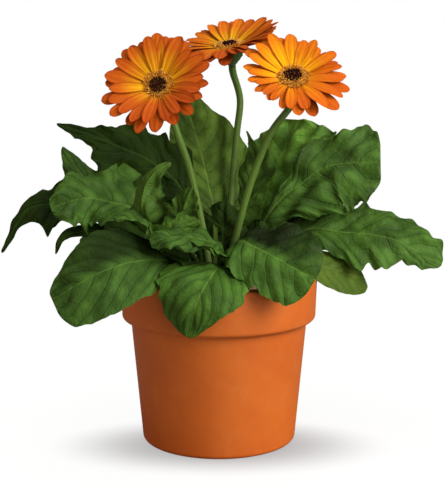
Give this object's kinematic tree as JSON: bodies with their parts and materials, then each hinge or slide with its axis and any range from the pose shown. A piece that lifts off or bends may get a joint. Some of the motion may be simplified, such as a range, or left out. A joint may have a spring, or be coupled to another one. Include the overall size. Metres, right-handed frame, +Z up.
{
  "type": "potted gerbera daisy",
  "caption": "Gerbera daisy with orange flower heads and a rosette of lobed green leaves, growing in a tapered round terracotta pot with a plain rim band.",
  "frame": {"origin": "centre of the pot's flat underside", "axes": "+Z up along the pot's axis; -Y is the plant's front, towards which the left flower faces; +X is the viewer's right"},
  "size_m": [0.3666, 0.239, 0.3471],
  "materials": {
    "pot": "smooth matte fired terracotta",
    "soil": "loose peat growing mix",
    "crown": "matte fibrous",
    "leaf": "soft satin, veined",
    "stalk": "matte, finely downy",
    "calyx": "matte overlapping bracts",
    "petal": "soft satin, finely streaked",
    "floret": "matte, fringed",
    "disc": "matte, packed buds"
  },
  "bodies": {
    "root": {"crown": "crown", "flower_back_calyx": "calyx", "flower_back_disc": "disc", "flower_back_florets": "floret", "flower_back_petals_inner": "petal", "flower_back_petals_outer": "petal", "flower_back_stalk": "stalk", "flower_left_calyx": "calyx", "flower_left_disc": "disc", "flower_left_florets": "floret", "flower_left_petals_inner": "petal", "flower_left_petals_outer": "petal", "flower_left_stalk": "stalk", "flower_right_calyx": "calyx", "flower_right_disc": "disc", "flower_right_florets": "floret", "flower_right_petals_inner": "petal", "flower_right_petals_outer": "petal", "flower_right_stalk": "stalk", "leaf_back_mid": "leaf", "leaf_back_right": "leaf", "leaf_back_tall": "leaf", "leaf_centre": "leaf", "leaf_centre_front": "leaf", "leaf_centre_left": "leaf", "leaf_front": "leaf", "leaf_front_left": "leaf", "leaf_front_right": "leaf", "leaf_left_far": "leaf", "leaf_left_high": "leaf", "leaf_left_mid": "leaf", "leaf_left_small": "leaf", "leaf_left_up": "leaf", "leaf_rear_left": "leaf", "leaf_rear_mid_left": "leaf", "leaf_rear_mid_right": "leaf", "leaf_rear_right": "leaf", "leaf_right_high": "leaf", "leaf_right_inner": "leaf", "leaf_right_long": "leaf", "leaf_right_low": "leaf", "pot": "pot", "soil": "soil"}
  },
  "joints": []
}
